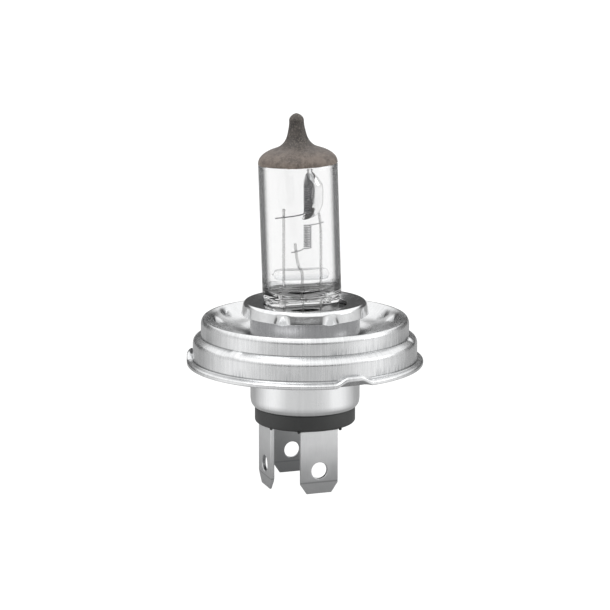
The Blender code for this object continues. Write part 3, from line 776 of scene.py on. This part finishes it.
for (z, half, deep), (shift, _, _) in zip(sizes, shifts):
    arcs = []
    for wall in (0.0, shield["wall"]):
        arc = []
        for k in range(49):
            t = math.radians(90 + 180 * k / 48)
            along = max(deep - wall, 0.05) * math.cos(t) + shift
            across = max(half - wall, 0.05) * math.sin(t)
            arc.append((shield["middle"] + along * towardX - across * towardY,
                        along * towardY + across * towardX, z))
        arcs.append(arc)
    loops.append(arcs[0] + arcs[1][::-1])
skin(spoon, loops, capped=True)
piece("dipSpoon", spoon, shieldFinish, ["dip_shield"], 50, place=mountPlace)
print("inner mount made")


# sealed foils in the pinch, then the leads and welds hidden in the shell
foil = {"x": mount["wireX"], "half": (1.0, 0.04), "low": 5.7, "high": 9.3, "ripple": 0.03}
foilNames = (("foilLowBeam", "foil_low_beam"), ("foilHighBeam", "foil_high_beam"), ("foilCommon", "foil_common"))
for (name, node), x in zip(foilNames, foil["x"]):
    strip = bmesh.new()
    loops = []
    for k in range(13):
        z = foil["low"] + (foil["high"] - foil["low"]) * k / 12
        wide = foil["half"][0] * (0.75 if k in (0, 12) else 1.0)
        loops.append([(x + px, py + foil["ripple"] * math.sin(k * 1.3), z) for px, py in
                      ((-wide, 0.0), (-wide * 0.5, -foil["half"][1]), (wide * 0.5, -foil["half"][1]), (wide, 0.0),
                       (wide * 0.5, foil["half"][1]), (-wide * 0.5, foil["half"][1]))])
    skin(strip, loops, capped=True)
    piece(name, strip, foilFinish, [node], 60, place=glassPlace)

for kind, finish in (("lead", wireFinish), ("weld", weldFinish)):
    for beam in ("low_beam", "high_beam", "common"):
        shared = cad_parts[kind + "_" + beam].data.materials
        shared.clear()
        shared.append(finish)
print("foils, leads and welds made")


# stage: pale floor, soft studio light, camera
stage = {"floor": -24.95, "reach": 6.0, "front": (-0.3256, -0.9455), "lens": 144.66,
         "cameraAt": (-0.1561, -0.4535, 0.1121), "lookAt": (0.0, 0.0, 0.0118), "floorGlow": 1.12, "topGlow": 1.4}
frontX, frontY = stage["front"]
floorMesh = bmesh.new()
bmesh.ops.create_grid(floorMesh, x_segments=8, y_segments=8, size=stage["reach"])
floorData = bpy.data.meshes.new("paleFloor")
floorMesh.to_mesh(floorData)
floorMesh.free()
floor = bpy.data.objects.new("paleFloor", floorData)
floor.location = (0, 0, stage["floor"] * mm)
bpy.context.scene.collection.objects.link(floor)
f = Finish("paleFloor")
paper = f.noise(f.node("TexCoord", out=3), 3.0, 2.0)
paperTone = f.blend(paper, (0.93, 0.93, 0.93), (0.96, 0.96, 0.96))
diffuse = f.node("BsdfDiffuse", None, {"Color": paperTone, "Roughness": 0.5})
# the camera and the glass see bare white; reflections see darker patches, like black cards
direct, passed = [f.node("LightPath", None, None, socket) for socket in (0, 13)]
seen = f.spread(f.node("Math", {"operation": "MAXIMUM"}, {0: direct, 1: passed}), 0.0, 1.0)
fx, fy, fz = f.place()
cx, cy, away = rings(fx, fy)
ahead = cx * frontX + cy * frontY
cardsAndShadow = f.ramp(f.spread(ahead, -1.0, 1.0), (0.0, 0.36), (0.22, 0.38), (0.45, 0.8), (0.62, 1.1), (0.76, 1.1),
               (0.9, 0.76), (1.0, 0.7))
# painted shadow: reflections see the floor darker within 25 mm of the axis, fading out by 60 mm, standing in for the
# lamp's contact shadow
cardsAndShadow = f.blend(f.spread(away, 25.0, 60.0), (0.35, 0.35, 0.35), cardsAndShadow)
glow = f.node("Emission", None, {"Color": f.blend(seen, cardsAndShadow, (1.0, 1.0, 1.0)), "Strength": stage["floorGlow"]})
f.node("OutputMaterial", None, {0: f.node("MixShader", None, {0: 0.95, 1: diffuse, 2: glow})})
floorData.materials.append(f.block)

w = Finish("studioAir", world=True)
way = w.node("TexCoord", out=0)
wx, wy, wz = [w.node("SeparateXYZ", None, {0: way}, axis) for axis in range(3)]
flat = (wx * wx + wy * wy) ** 0.5 + 0.001
ahead = (wx * frontX + wy * frontY) / flat
# low air is dark in front and behind, and everything above is bright
low = w.ramp(w.spread(ahead, -1.0, 1.0), (0.0, 0.10), (0.14, 0.14), (0.3, 0.8), (0.6, 1.0), (0.84, 0.8),
             (0.93, 0.16), (1.0, 0.12))
light = w.blend(w.spread(wz + ahead * 0.09, 0.3, 0.42), low, (stage["topGlow"],) * 3)
deep = w.spread(w.node("LightPath", None, None, 13), 0.0, 1.0) * 0.94
seen = w.node("Math", {"operation": "MAXIMUM"}, {0: w.node("LightPath", None, None, 0), 1: deep})
light = w.blend(seen, light, (1.0, 1.0, 1.0))
w.node("OutputWorld", None, {0: w.node("Background", None, {0: light, 1: 1.0})})
bpy.context.scene.world = w.block

for name, spot, size, power in (("topSoft", (-0.3, -0.1, 0.7), 0.4, 1.2),
                                ("sideSoft", (0.55, -0.25, 0.3), 0.3, 0.6)):
    lamp = bpy.data.lights.new(name, "AREA")
    lamp.size = size
    lamp.energy = power
    made = bpy.data.objects.new(name, lamp)
    made.location = spot
    made.rotation_euler = (Vector((0, 0, 0.01)) - Vector(spot)).to_track_quat("-Z", "Y").to_euler()
    bpy.context.scene.collection.objects.link(made)

lens = bpy.data.cameras.new("viewCamera")
lens.lens = stage["lens"]
lens.sensor_width = 36.0
lens.clip_start = 0.01
camera = bpy.data.objects.new("viewCamera", lens)
camera.location = stage["cameraAt"]
toward = Vector(stage["lookAt"]) - Vector(stage["cameraAt"])
camera.rotation_euler = toward.to_track_quat("-Z", "Y").to_euler()
bpy.context.scene.collection.objects.link(camera)
bpy.context.scene.camera = camera
bpy.context.scene.view_settings.view_transform = "Standard"
print("stage set")
